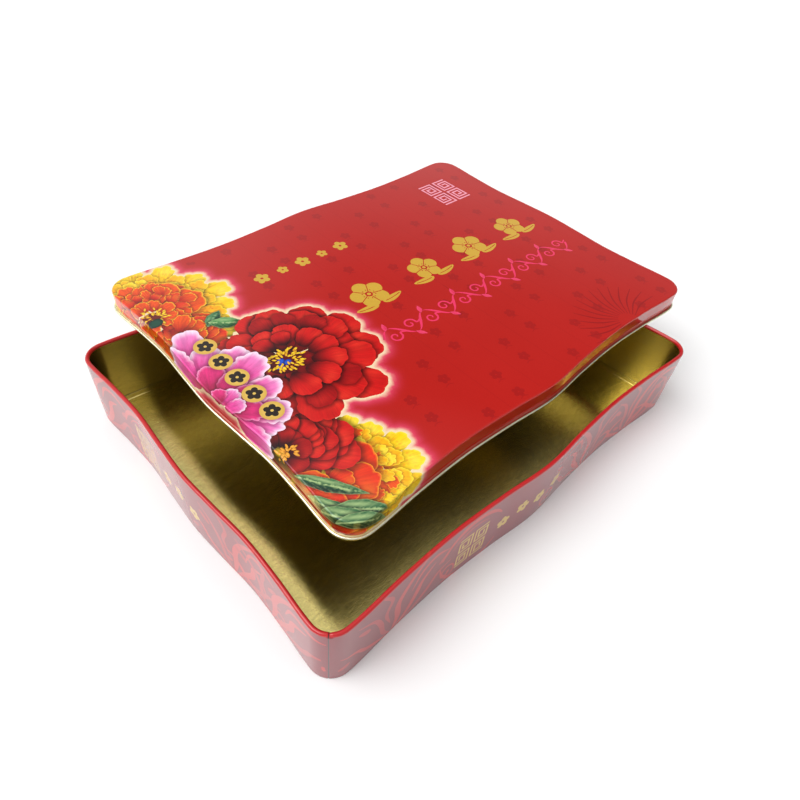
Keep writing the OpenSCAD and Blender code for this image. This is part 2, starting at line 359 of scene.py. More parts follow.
def picture():
    S = []
    r = np.random.RandomState(11)
    # faint blossoms in a wide grid, and the faint rules between them
    faint = flat_paint((168, 24, 22))
    for i, u in enumerate(range(-92, 136, 24)):
        S += stroke([(u + 12, -104, 0.35), (u + 12, 0, 0.35), (u + 12, 103, 0.35)], flat_paint((172, 25, 22)), 9.0, 8)
        for j, v in enumerate(range(-99, 104, 15)):
            if (i * 7 + j * 5) % 3 == 1:
                continue
            q = blossom(u + r.uniform(-0.6, 0.6), v + r.uniform(-0.6, 0.6), 3.6, (164, 23, 21), r.uniform(0, 1.2))
            S += q
            S += stroke([(u + 2, v - 5.2, 0.5), (u - 0.5, v - 3.8, 0.8), (u - 3.2, v - 4.8, 0.4)], faint, 1.2, 6)
    # a large faint daisy near the right-hand corner
    for k in range(15):
        a = math.radians(8 + 12.2 * k)
        c, s = math.cos(a), math.sin(a)
        S += stroke([(80 + 7 * c, -104 + 7 * s, 0.4), (80 + 20 * c - 2 * s, -104 + 20 * s + 2 * c, 1.0),
                     (80 + 34 * c, -104 + 34 * s, 0.4)], flat_paint((150, 19, 20)), 2.0, 6)
    marks = [len(S)]
    # small gold ornaments in a row
    G = (206, 164, 58)
    g = flat_paint(G)
    for k, u in enumerate((-66.5, -51.5, -36.5, -21.5, -6.5)):
        S += blossom(u, 59.4, 4.9 if k % 2 == 0 else 3.6, G, 0.31, eye=RED_BG)
    # four gold blossoms
    gold_sprigs(S, g, G)
    # a rose-coloured running vine
    rose = flat_paint((232, 56, 100))
    pts = [(-47 + 167 * k / 60, -27 + 6.0 * math.sin(2 * math.pi * k / 60 * 6.0), 1.0 + 0.6 * math.cos(2 * math.pi * k / 60 * 12)) for k in range(61)]
    S += stroke(pts, rose, 0.9, 4)
    for k in range(12):
        u = -47 + 167 * (k + 0.5) / 12
        up = 1 if k % 2 == 0 else -1
        S += stroke([(u + 8.4, -27 - up * 2.0, 0.8), (u + 5.4, -27 - up * 0.6, 1.0)] +
                    spiral(u, -27 - up * 1.6, 4.4, 0.8, 0.2 * up, 1.15 * -up, 1.2, 0.8, 12), rose, 0.7, 3)
        a = math.radians(62 * up)
        S.append(leaf(u - 1.5, -27 + up * 5.0, a, 6.5, 1.6, r, 0.12, (214, 44, 84), (232, 56, 100), (240, 84, 122), group=0))
    # pale fret: four square spirals
    fret = flat_paint((240, 158, 178))
    for ix in range(2):
        for iy in range(2):
            cx, cy = 95.0 + 14.0 * ix, 62.2 + 15.4 * iy
            sx, sy = (1 if ix == 0 else -1), (1 if iy == 0 else -1)
            L = [(-5.2, -6.2), (5.2, -6.2), (5.2, 6.2), (-5.2, 6.2), (-5.2, -3.4), (2.6, -3.4), (2.6, 3.4), (-2.6, 3.4), (-2.6, -0.7), (0.3, -0.7)]
            for (x0, y0), (x1, y1) in zip(L[:-1], L[1:]):
                w = 0.62
                xa, xb, ya, yb = min(x0, x1) - w, max(x0, x1) + w, min(y0, y1) - w, max(y0, y1) + w
                P = np.array([(xa, ya), (xb, ya), (xb, yb), (xa, yb)]) * (sx, sy) + (cx, cy)
                S.append(Shape(P, fret))
    n_back = len(S)
    n_faint = marks[0]
    # ---- yellow and orange peony at the left-hand corner
    R = np.random.RandomState(5)
    cx, cy = -134.0, 66.0
    ring(S, cx, cy, 16, 24, 23, 8.5, P_YEL, R, 0.1, lobes=4, ruf=0.2, rag=0.03, nf=3)
    ring(S, cx, cy, 17, 19, 20, 7.5, P_YEL2, R, 0.32, lobes=4, ruf=0.2, rag=0.03, nf=3)
    ring(S, cx + 1, cy + 2, 18, 19, 13, 5.0, P_YEL, R, 0.05, lobes=4, ruf=0.22, rag=0.04, nf=3)
    ring(S, cx, cy, 15, 13, 19, 7.0, P_ORA, R, 0.2, lobes=4, ruf=0.18, rag=0.04, nf=3)
    S.append(petal(-131, 62, math.radians(12), 30, 14, P_ORA, R, 4, 0.1, 0.05, 0.03))
    S.append(petal(-132, 70, math.radians(40), 27, 12, P_ORA, R, 4, 0.1, 0.0, 0.03))
    ring(S, cx, cy, 13, 9, 14, 6.0, P_ROR, R, 0.5, lobes=4, ruf=0.2, rag=0.05)
    for k in range(24):
        t, q = R.uniform(-1.7, 1.7), R.uniform(9, 22)
        S.append(petal(cx + q * math.cos(t), cy + q * math.sin(t), t + R.uniform(-0.9, 0.9), R.uniform(7, 12), R.uniform(3.4, 5.5),
                       (P_ORA, P_ORA, P_ROR)[k % 3], R, 4, 0.22, R.uniform(-0.2, 0.2), 0.05))
    ring(S, cx, cy, 9, 4, 11, 5.0, P_ORA, R, 0.9, lobes=4, ruf=0.2, rag=0.04)
    S.append(blob(cx, cy - 2, 0, 5.5, 4.5, (110, 24, 8), 16))
    stamens(S, cx + 1, cy - 1, 38, 2.5, 10.0, R)
    S.append(blob(cx - 1, cy - 7, 0.3, 4.4, 3.4, (14, 70, 52), 14, 0.3, (4, 30, 26)))
    ring(S, -127, 36, 6, 0.5, 18, 8.0, P_ROR, R, math.radians(-70), math.radians(50), lobes=4, ruf=0.16, rag=0.03)
    ring(S, -130, 44, 6, 2, 13, 5.5, P_ORA, R, math.radians(-60), math.radians(60), lobes=4, ruf=0.2, rag=0.04)
    # leaves between the two
    S.append(leaf(-115, 40, math.radians(38), 15, 4.4, R, -0.06, (6, 52, 34), (20, 96, 52)))
    S.append(leaf(-113, 43, math.radians(-40), 19, 5.4, R, 0.1, (8, 66, 36), (44, 132, 62), (190, 216, 150)))
    # ---- yellow and red peony at the front corner
    R = np.random.RandomState(23)
    cx, cy = -126.0, -84.0
    ring(S, cx, cy, 15, 20, 19, 8.0, P_YEL, R, 0.0, lobes=4, ruf=0.2, rag=0.03, nf=3)
    ring(S, cx, cy, 16, 17, 16, 7.0, P_YEL2, R, 0.2, lobes=4, ruf=0.2, rag=0.03, nf=3)
    ring(S, cx, cy, 17, 18, 11, 4.6, P_YEL, R, 0.1, lobes=4, ruf=0.24, rag=0.04, nf=3)
    ring(S, cx - 3, cy + 1, 11, 9, 16, 7.5, P_ORA, R, 0.3, lobes=4, ruf=0.18, rag=0.04)
    for k in range(22):
        t, q = R.uniform(-2.4, 0.9), R.uniform(10, 22)
        S.append(petal(cx + q * math.cos(t), cy + q * math.sin(t), t + R.uniform(-0.9, 0.9), R.uniform(7, 12), R.uniform(3.2, 5.2),
                       (P_ORA, P_YEL2, P_ORA, P_YEL)[k % 4], R, 4, 0.24, R.uniform(-0.2, 0.2), 0.05, nf=3))
    S.append(petal(-137, -79, math.radians(-2), 34, 15, P_ROR, R, 4, 0.08, 0.04, 0.02))
    S.append(petal(-138, -80, math.radians(-32), 30, 14, P_ROR, R, 4, 0.1, 0.04, 0.03))
    S.append(petal(-137, -76, math.radians(26), 27, 12, P_ROR, R, 4, 0.08, 0.04, 0.02))
    ring(S, -137, -82, 7, 4, 15, 7, P_ROR, R, 0.7, lobes=4, ruf=0.16, rag=0.03)
    stamens(S, -134, -79, 26, 2.0, 7.0, R)
    # ---- lower red peony
    R = np.random.RandomState(31)
    cx, cy = -137.0, -55.0
    ring(S, cx, cy, 7, 9, 25, 12, P_RED, R, -0.62, 0.75, lobes=3, ruf=0.08)
    ring(S, cx, cy, 7, 6, 20, 10, P_RED2, R, -0.85, 1.2, lobes=3, ruf=0.08)
    ring(S, cx + 2, cy + 2, 6, 4, 17, 8, P_RED, R, -0.7, 1.0, lobes=3, ruf=0.1)
    ring(S, cx, cy, 9, 3, 12, 7, P_DEEP, R, 0.2, lobes=3, ruf=0.1)
    stamens(S, cx + 2, cy - 2, 22, 1.5, 6.0, R, (244, 176, 60))
    # ---- large red peony
    R = np.random.RandomState(47)
    ox, oy = -90.0, -10.0
    ring(S, ox - 1, oy, 9, 13, 28, 15.5, P_RED, R, 0.25, lobes=4, ruf=0.11, jit=0.14, sq=1.14, rag=0.02)
    ring(S, ox - 3, oy + 4, 8, 11, 22, 12.5, P_RED2, R, 0.6, lobes=4, ruf=0.11, jit=0.2, sq=1.1, rag=0.02)
    for (bx, by, a, L, W) in ((-82, 2, 50, 24, 13), (-88, 8, 84, 25, 13), (-76, -4, 14, 22, 12), (-80, -18, -34, 26, 14), (-92, -24, -72, 27, 14),
                              (-84, 10, 66, 17, 9), (-77, 4, 30, 16, 9), (-92, 12, 100, 17, 9), (-88, -26, -50, 19, 10), (-98, -26, -96, 20, 10)):
        S.append(petal(bx, by, math.radians(a), L, W, P_RED if L > 20 else P_DEEP, R, 4, 0.1, R.uniform(-0.12, 0.12), 0.02))
    ring(S, ox - 7, oy + 4, 9, 5, 14, 7.5, P_RED2, R, 0.2, lobes=4, ruf=0.1, jit=0.2)
    for (bx, by, a, L, W) in ((-98, 2, 95, 17, 9), (-90, 3, 60, 16, 9), (-106, 1, 122, 16, 8), (-86, -3, 25, 17, 9),
                              (-99, 3, 104, 11, 7), (-92, 3, 74, 11, 7), (-85, -9, -8, 18, 9), (-87, -14, -38, 19, 10),
                              (-112, -8, 190, 12, 7), (-109, -13, -118, 17, 9), (-93, -17, -60, 19, 10), (-101, -17, -92, 18, 10)):
        S.append(petal(bx, by, math.radians(a), L, W, P_RED if L > 15 else P_RED2, R, 4, 0.1, R.uniform(-0.12, 0.12), 0.02))
    S.append(blob(-99.5, -8, 0.2, 10, 8.0, (96, 4, 10), 26, 0.3, (64, 0, 6)))
    for (bx, by) in ((-103.5, -9.5), (-98.5, -8.8), (-101, -6.2)):
        S.append(blob(bx, by, 0.4, 2.5, 1.9, (36, 92, 214), 14, 0.3, (10, 30, 120)))
    stamens(S, -98.5, -7.0, 40, 7.0, 11.0, R, a=1.7, b=0.72)
    stamens(S, -98.5, -6.5, 22, 3.5, 7.0, R, a=1.3, b=0.62)
    # ---- pink peony over its left side
    R = np.random.RandomState(71)
    for (bx, by, a, L, W, p) in (
            (-140, 6, 74, 41, 11, P_PINK), (-141, 2, 52, 30, 11, P_PINK), (-138, -1, 30, 32, 12, P_PINK),
            (-137, -6, 12, 33, 12, P_PINK), (-143, 4, 92, 34, 10, P_PINK), (-140, -24, -62, 24, 10, P_PINK),
            (-139, -22, -30, 27, 11, P_PINK), (-142, -25, -90, 26, 10, P_PINK), (-137, -14, -12, 28, 10, P_PINK),
            (-141, -6, 60, 22, 9, P_MAG), (-140, -10, 25, 20, 9, P_MAG), (-140, -14, -5, 19, 8, P_MAG),
            (-141, -18, -40, 19, 8, P_MAG), (-141, -14, 14, 12, 6, P_PINK), (-142, -17, -20, 11, 6, P_PINK),
            (-142, -12, 50, 10, 5, P_MAG)):
        S.append(petal(bx, by, math.radians(a), L, W, p, R, 5, 0.14, R.uniform(-0.1, 0.1), 0.035, n=72, nf=3.0))
    # ---- leaves over the front corner
    R = np.random.RandomState(83)
    for (bx, by, a, L, W) in ((-150, -70, -40, 24, 12), (-150, -84, -30, 22, 12), (-146, -98, -50, 22, 11), (-150, -100, -10, 20, 11)):
        S.append(petal(bx, by, math.radians(a), L, W, P_ROR, R, 4, 0.08, 0.0))
    for (bx, by, a, L, W, bd) in ((-141, -68, -62, 36, 4.2, 0.1), (-145, -78, -70, 34, 4.6, 0.12),
                                  (-139, -93, -44, 27, 6.0, 0.08), (-146, -88, -58, 34, 6.2, 0.1), (-144, -99, -36, 30, 5.6, 0.05)):
        S.append(leaf(bx, by, math.radians(a), L, W, R, bd, (4, 34, 28), (22, 92, 52), (196, 222, 150)))
    n_front = len(S)
    # ---- five gold discs, each with a small blossom
    for v in (27.0, 12.3, -2.4, -17.1, -31.8):
        S.append(blob(-124.6, v, 0, 6.1, 6.1, (222, 184, 88), 40, 0.35, (212, 170, 74), group=0))
        S += blossom(-124.6, v, 4.3, (34, 22, 12), 0.94, eye=(222, 184, 88))
    # the faint ground pattern stays clear of the glow round the flowers
    kd = KDTree(sum(len(sh.poly) for sh in S[n_back:n_front]))
    i = 0
    for sh in S[n_back:n_front]:
        for q in sh.poly:
            kd.insert((q[0], q[1], 0), i)
            i += 1
    kd.balance()
    keep = [sh for sh in S[:n_faint] if min(kd.find((q[0], q[1], 0))[2] for q in sh.poly[::3]) > 8.0]
    S = keep + S[n_faint:]
    k = n_faint - len(keep)
    return S, n_back - k, n_front - k


def gold_sprigs(S, g, G):
    """Four open gold blossoms, each on a pair of leaves."""
    red = flat_paint(RED_BG)

    def lf(x, y, a, L, W, b):
        t = np.linspace(0, 2 * math.pi, 20, endpoint=False)
        v = (1 - np.cos(t)) / 2
        u = np.sin(t) * W * (1 - 0.35 * v) + b * L * v * v
        c, s = math.cos(a), math.sin(a)
        S.append(Shape(np.c_[x + v * L * c - u * s, y + v * L * s + u * c], g))
        S.extend(stroke([(x + q * L * c - b * L * q * q * s, y + q * L * s + b * L * q * q * c, 0.5) for q in (0.12, 0.4, 0.66, 0.9)], red, 1.6, 4))

    for n, (x, r) in enumerate(((-26.0, 12.0), (20.0, 10.8), (62.0, 12.0), (104.0, 10.8))):
        y = 9.5
        f = 1 if n % 2 == 0 else -1
        lf(x - 2.0, y - 10.6, math.radians(186), 15.0, 3.0, -0.2)
        lf(x + 2.0, y - 10.6, math.radians(-6), 15.0, 3.0, 0.2)
        a0 = math.pi / 2 + 0.12 * f
        for k in range(5):
            a = a0 + 2 * math.pi * k / 5
            S.append(blob(x + 0.56 * r * math.cos(a), y + 0.56 * r * math.sin(a), a, 0.46 * r, 0.44 * r, G, 20, group=0))
        for k in range(5):
            a = a0 + math.pi / 5 + 2 * math.pi * k / 5
            S.extend(stroke([(x + q * r * math.cos(a), y + q * r * math.sin(a), 0.55) for q in (0.2, 0.45, 0.74)], red, 1.6, 4))
        S.append(blob(x, y, 0, 0.20 * r, 0.20 * r, RED_BG, 14, group=0))
        S.append(blob(x, y, 0, 0.11 * r, 0.11 * r, G, 10, group=0))
        for k in range(10):
            a = a0 + 2 * math.pi * (k + 0.5) / 10
            S.append(blob(x + 0.34 * r * math.cos(a), y + 0.34 * r * math.sin(a), a, 0.5, 0.4, RED_BG, 8, group=0))


# ------------------------------------------------------------------ from shapes to a painted sheet
def triangulate(domain, lines, pts, shapes):
    """Splits a flat domain along every shape's outline. Returns points, triangles, the top shape of each triangle
    (0 is the ground) and, for each domain point, its index in the result."""
    V, E, F = [], [], []

    def add(P):
        i = len(V)
        V.extend(Vector((float(p[0]), float(p[1]))) for p in P)
        return list(range(i, i + len(P)))
    F.append(add(domain))
    for L, closed in lines:
        k = add(L)
        E.extend((k[j], k[j + 1]) for j in range(len(k) - 1))
        if closed:
            E.append((k[-1], k[0]))
    for sh in shapes:
        P = sh.poly
        x, y = P[:, 0], P[:, 1]
        if (x * np.roll(y, -1) - y * np.roll(x, -1)).sum() < 0:
            P = P[::-1]
        F.append(add(P))
    add(pts)
    vo, _, fo, ov, _, of = delaunay_2d_cdt(V, E, F, 1, 5e-4, True)
    P = np.array([(v.x, v.y) for v in vo])
    box = [(-1e9, -1e9, 1e9, 1e9)] + [(*(sh.poly.min(0) - 1e-3), *(sh.poly.max(0) + 1e-3)) for sh in shapes]

    def top(f, o):
        cx, cy = sum(vo[i].x for i in f) / 3, sum(vo[i].y for i in f) / 3
        for k in sorted(o, reverse=True):
            b = box[k]
            if b[0] <= cx <= b[2] and b[1] <= cy <= b[3]:
                return k
        return 0
    keep = [(f, top(f, o)) for f, o in zip(fo, of) if len(f) == 3 and o and min(o) == 0]
    T = np.array([f for f, _ in keep], int)
    own = np.array([o for _, o in keep], int)
    a, b, c = P[T[:, 0]], P[T[:, 1]], P[T[:, 2]]
    area = (b[:, 0] - a[:, 0]) * (c[:, 1] - a[:, 1]) - (b[:, 1] - a[:, 1]) * (c[:, 0] - a[:, 0])
    T[area < 0] = T[area < 0][:, ::-1]
    ok = np.abs(area) > 1e-13
    T, own = T[ok], own[ok]
    where = {}
    for i, o in enumerate(ov):
        for k in o:
            where[k] = i
    return P, T, own, [where[k] for k in range(len(domain))]


def paint(P, T, own, shapes, ground, halo=None):
    """Colour, petal coordinates and streak amount for each triangle corner."""
    Q = P[T.ravel()]
    o = np.repeat(own, 3)
    col = np.zeros((len(Q), 3))
    pv = np.zeros((len(Q), 3))
    st = np.zeros(len(Q))
    m = o == 0
    col[m] = ground(Q[m])
    dim = np.ones(len(Q))
    order = np.argsort(Q[:, 0])
    xs = Q[order, 0]
    for k, sh in enumerate(shapes, 1):
        lo, hi = sh.poly.min(0) - 1e-4, sh.poly.max(0) + 1e-4
        grow = 0.0
        if sh.shadow > 0 and sh.star is not None:
            grow = (hi - lo).max() * 0.5 * (sh.reach - 1) + 0.5
        i0, i1 = np.searchsorted(xs, lo[0] - grow), np.searchsorted(xs, hi[0] + grow)
        c = order[i0:i1]
        c = c[(Q[c, 1] > lo[1] - grow) & (Q[c, 1] < hi[1] + grow)]
        mine = c[o[c] == k]
        if len(mine):
            col[mine] = sh.paint(sh, Q[mine])
            if sh.frame is not None:
                x, y = sh.local(Q[mine])
                pv[mine] = np.c_[x / (0.3 + np.clip(y, 0, 1)), y, np.full(len(mine), k * 0.731)]
                st[mine] = sh.streak
        if grow > 0:
            low = c[o[c] < k]
            if len(low):
                e = sh.edge(Q[low])
                dim[low] *= 1 - sh.shadow * (1 - smooth(e, 1.0, sh.reach)) * (e > 0.98)
    front = o > 0
    col[front] *= dim[front, None]
    if halo is not None:
        col[m] = halo(Q[m], col[m])
    return col, pv, st


def to_mesh(name, verts, faces, mats, mat_of, loop_normals, attrs):
    me = bpy.data.meshes.new(name)
    me.from_pydata(verts.tolist(), [], faces)
    me.update()
    for m in mats:
        me.materials.append(m)
    me.polygons.foreach_set("material_index", mat_of)
    me.polygons.foreach_set("use_smooth", np.ones(len(me.polygons), bool))
    for an, (kind, data) in attrs.items():
        at = me.attributes.new(an, kind, "CORNER")
        if kind == "FLOAT_COLOR":
            at.data.foreach_set("color", np.c_[data, np.ones(len(data))].astype(np.float32).ravel())
        elif kind == "FLOAT_VECTOR":
            at.data.foreach_set("vector", data.astype(np.float32).ravel())
        else:
            at.data.foreach_set("value", data.astype(np.float32))
    if loop_normals is not None:
        me.normals_split_custom_set([tuple(n) for n in loop_normals])
    ob = bpy.data.objects.new(name, me)
    bpy.context.scene.collection.objects.link(ob)
    return ob


# ------------------------------------------------------------------ materials
def mat_new(name):
    m = bpy.data.materials.new(name)
    m.use_nodes = True
    nt = m.node_tree
    b = nt.nodes["Principled BSDF"]
    return m, nt, b


def nd(nt, kind, **kw):
    n = nt.nodes.new(kind)
    for k, v in kw.items():
        if k.startswith("i_"):
            n.inputs[k[2:].replace("_", " ")].default_value = v
        else:
            setattr(n, k, v)
    return n


def math_n(nt, op, a, b=None, clamp=False):
    n = nt.nodes.new("ShaderNodeMath")
    n.operation, n.use_clamp = op, clamp
    for i, v in enumerate((a, b)):
        if v is None:
            continue
        if isinstance(v, (int, float)):
            n.inputs[i].default_value = v
        else:
            nt.links.new(v, n.inputs[i])
    return n.outputs[0]


def print_material(name, coat_rough, base_rough):
    """Litho ink under varnish: the colours painted on the sheet, fine streaks along each petal, a slight unevenness of ink."""
    m, nt, b = mat_new(name)
    L = nt.links.new
    art = nd(nt, "ShaderNodeAttribute", attribute_name="art")
    pv = nd(nt, "ShaderNodeAttribute", attribute_name="petal")
    sa = nd(nt, "ShaderNodeAttribute", attribute_name="streak")
    co = nd(nt, "ShaderNodeTexCoord")
    mp = nd(nt, "ShaderNodeMapping")
    mp.inputs["Scale"].default_value = (7.0, 1.1, 3.0)
    L(pv.outputs["Vector"], mp.inputs["Vector"])
    n1 = nd(nt, "ShaderNodeTexNoise", i_Scale=1.6, i_Detail=5.0, i_Roughness=0.62)
    L(mp.outputs[0], n1.inputs["Vector"])
    s1 = math_n(nt, "MULTIPLY", math_n(nt, "SUBTRACT", n1.outputs["Fac"], 0.5), 0.8)
    s2 = math_n(nt, "MULTIPLY", s1, sa.outputs["Fac"])
    n2 = nd(nt, "ShaderNodeTexNoise", i_Scale=1500.0, i_Detail=3.0, i_Roughness=0.6)
    L(co.outputs["Object"], n2.inputs["Vector"])
    n3 = nd(nt, "ShaderNodeTexNoise", i_Scale=22.0, i_Detail=2.0, i_Roughness=0.5)
    L(co.outputs["Object"], n3.inputs["Vector"])
    g = math_n(nt, "ADD", math_n(nt, "MULTIPLY", math_n(nt, "SUBTRACT", n2.outputs["Fac"], 0.5), 0.16),
               math_n(nt, "MULTIPLY", math_n(nt, "SUBTRACT", n3.outputs["Fac"], 0.5), 0.12))
    f = math_n(nt, "ADD", math_n(nt, "ADD", s2, g), 1.0)
    mul = nd(nt, "ShaderNodeVectorMath", operation="SCALE")
    L(art.outputs["Color"], mul.inputs[0])
    L(f, mul.inputs["Scale"])
    L(mul.outputs[0], b.inputs["Base Color"])
    rr = nd(nt, "ShaderNodeMapRange")
    L(n3.outputs["Fac"], rr.inputs["Value"])
    rr.inputs["To Min"].default_value = base_rough - 0.05
    rr.inputs["To Max"].default_value = base_rough + 0.07
    L(rr.outputs[0], b.inputs["Roughness"])
    b.inputs["IOR"].default_value = 1.5
    b.inputs["Coat Weight"].default_value = 1.0
    b.inputs["Coat Roughness"].default_value = coat_rough
    b.inputs["Coat IOR"].default_value = 1.5
    b.inputs["Specular IOR Level"].default_value = 0.08
    w = nd(nt, "ShaderNodeTexNoise", i_Scale=9.0, i_Detail=1.5, i_Roughness=0.4)
    L(co.outputs["Object"], w.inputs["Vector"])
    b1 = nd(nt, "ShaderNodeBump", i_Strength=0.35, i_Distance=0.0012)
    L(w.outputs["Fac"], b1.inputs["Height"])
    b2 = nd(nt, "ShaderNodeBump", i_Strength=0.10, i_Distance=0.00003)
    L(n2.outputs["Fac"], b2.inputs["Height"])
    L(b1.outputs[0], b2.inputs["Normal"])
    L(b2.outputs[0], b.inputs["Normal"])
    L(b1.outputs[0], b.inputs["Coat Normal"])
    return m


def gold_material(name, col=(0.67, 0.565, 0.205), rough=0.215, across=(0.0, 1.0, 0.0), aniso=1.0, grain_d=0.00012):
    """Gold lacquer over rolled tinplate: a fine rolled grain, a little cloudiness, small rubs."""
    m, nt, b = mat_new(name)
    L = nt.links.new
    co = nd(nt, "ShaderNodeTexCoord")
    mp = nd(nt, "ShaderNodeMapping")
    mp.inputs["Scale"].default_value = (230.0, 1050.0, 1400.0)
    L(co.outputs["Object"], mp.inputs["Vector"])
    n1 = nd(nt, "ShaderNodeTexNoise", i_Scale=1.0, i_Detail=4.0, i_Roughness=0.65)
    L(mp.outputs[0], n1.inputs["Vector"])
    n2 = nd(nt, "ShaderNodeTexNoise", i_Scale=1900.0, i_Detail=2.0, i_Roughness=0.6)
    L(co.outputs["Object"], n2.inputs["Vector"])
    n3 = nd(nt, "ShaderNodeTexNoise", i_Scale=26.0, i_Detail=3.0, i_Roughness=0.55)
    L(co.outputs["Object"], n3.inputs["Vector"])
    grain = math_n(nt, "ADD", math_n(nt, "MULTIPLY", n1.outputs["Fac"], 0.6), math_n(nt, "MULTIPLY", n2.outputs["Fac"], 0.4))
    ramp = nd(nt, "ShaderNodeValToRGB")
    ramp.color_ramp.elements[0].position = 0.3
    ramp.color_ramp.elements[0].color = (col[0] * 0.74, col[1] * 0.73, col[2] * 0.68, 1)
    ramp.color_ramp.elements[1].position = 0.7
    ramp.color_ramp.elements[1].color = (min(1, col[0] * 1.24), min(1, col[1] * 1.24), min(1, col[2] * 1.28), 1)
    L(grain, ramp.inputs[0])
    L(ramp.outputs[0], b.inputs["Base Color"])
    b.inputs["Metallic"].default_value = 1.0
    # rolled sheet: smooth along the rolling direction, rougher across it
    b.inputs["Anisotropic"].default_value = aniso
    tg = nd(nt, "ShaderNodeCombineXYZ")
    for k in range(3):
        tg.inputs[k].default_value = across[k]
    L(tg.outputs[0], b.inputs["Tangent"])
    rg = math_n(nt, "ADD", math_n(nt, "MULTIPLY", grain, 0.08), math_n(nt, "MULTIPLY", n3.outputs["Fac"], 0.06))
    L(math_n(nt, "ADD", rg, rough - 0.07), b.inputs["Roughness"])
    b.inputs["Coat Weight"].default_value = 0.25
    b.inputs["Coat Roughness"].default_value = 0.12
    w = nd(nt, "ShaderNodeTexNoise", i_Scale=11.0, i_Detail=1.0, i_Roughness=0.4)
    L(co.outputs["Object"], w.inputs["Vector"])
    b1 = nd(nt, "ShaderNodeBump", i_Strength=0.3, i_Distance=0.001)
    L(w.outputs["Fac"], b1.inputs["Height"])
    b2 = nd(nt, "ShaderNodeBump", i_Strength=1.0, i_Distance=grain_d)
    L(n1.outputs["Fac"], b2.inputs["Height"])
    L(b1.outputs[0], b2.inputs["Normal"])
    L(b2.outputs[0], b.inputs["Normal"])
    return m


M_LID = print_material("lid_print", 0.05, 0.30)
M_WALL = print_material("wall_print", 0.07, 0.34)
M_GOLD = gold_material("gold_lacquer_floor", rough=0.19, grain_d=0.00006)
M_GOLD_W = gold_material("gold_lacquer_wall", rough=0.22, across=(0.0, 0.0, 1.0), aniso=0.7, grain_d=0.00003)
M_EDGE = gold_material("worn_curl", col=(0.94, 0.87, 0.60), rough=0.2, grain_d=0.00003)


# ------------------------------------------------------------------ the lid
def lid_profile(e):
    """Outer face of the lid, unrolled: offset from the outline, height below the panel, and the face's normal."""
    e = np.asarray(e, float)
    q = math.pi / 2 * EDGE_R
    d0 = LID_OUT - EDGE_R
    phi = np.clip(e, 0, q) / EDGE_R
    off = d0 + np.where(e < 0, e, EDGE_R * np.sin(phi))
    z = -EDGE_R * (1 - np.cos(phi)) - np.clip(e - q, 0, None)
    b = np.clip(1 - np.abs(z + BEAD_Z) / 0.85, 0, None)
    bump = BEAD_D * (3 * b**2 - 2 * b**3)
    slope = -np.sign(z + BEAD_Z) * BEAD_D * (6 * b - 6 * b**2) / 0.85
    no = np.where(e < 0, 0.0, np.where(e < q, np.sin(phi), 1.0))
    nz = np.where(e < 0, 1.0, np.where(e < q, np.cos(phi), -slope))
    k = np.hypot(no, nz)
    return off + bump - INSET * (e > 0), z - INSET, no / k, nz / k


